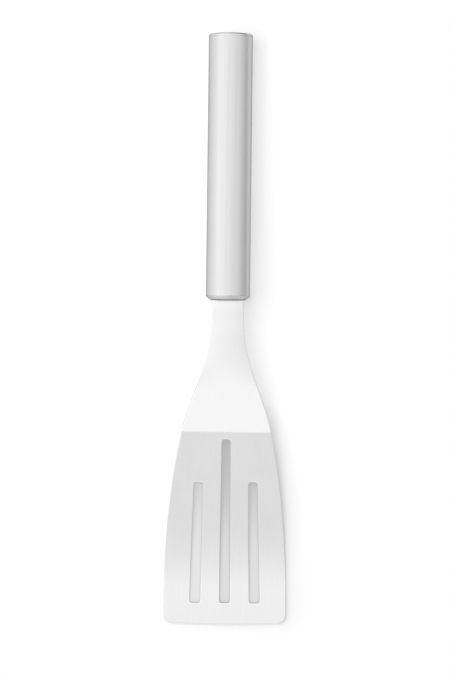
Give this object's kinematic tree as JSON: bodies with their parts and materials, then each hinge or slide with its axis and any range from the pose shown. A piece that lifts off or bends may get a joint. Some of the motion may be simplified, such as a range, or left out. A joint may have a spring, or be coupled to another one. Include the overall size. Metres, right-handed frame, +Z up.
{
  "type": "slotted spatula",
  "caption": "Kitchen spatula with a thin slotted steel blade that steps down from a crowned shank, on a round hollow steel handle with a chamfered front and a closed butt.",
  "frame": {"origin": "on the table the spatula lies on, under the middle of its bounding box", "axes": "+Z up from the table, +Y towards the butt of the handle, +X to the right as seen from above with the butt away from the viewer"},
  "size_m": [0.0702, 0.3374, 0.0322],
  "materials": {
    "satin_sheet": "satin stainless sheet, very fine even grain",
    "brushed_tube": "stainless tube, fine brushing along its length",
    "turned_steel": "stainless, fine turning marks round the axis",
    "seal_rubber": "matt black silicone",
    "core_plastic": "moulded, lightly grained",
    "rivet_steel": "drawn and upset, plain"
  },
  "bodies": {
    "root": {"blade": "satin_sheet", "handle_tube": "brushed_tube", "end_cap": "turned_steel", "cap_ring": "seal_rubber", "ferrule": "turned_steel", "shank_gasket": "seal_rubber", "core_upper": "core_plastic", "core_lower": "core_plastic", "tang_rivets": "rivet_steel"}
  },
  "joints": []
}
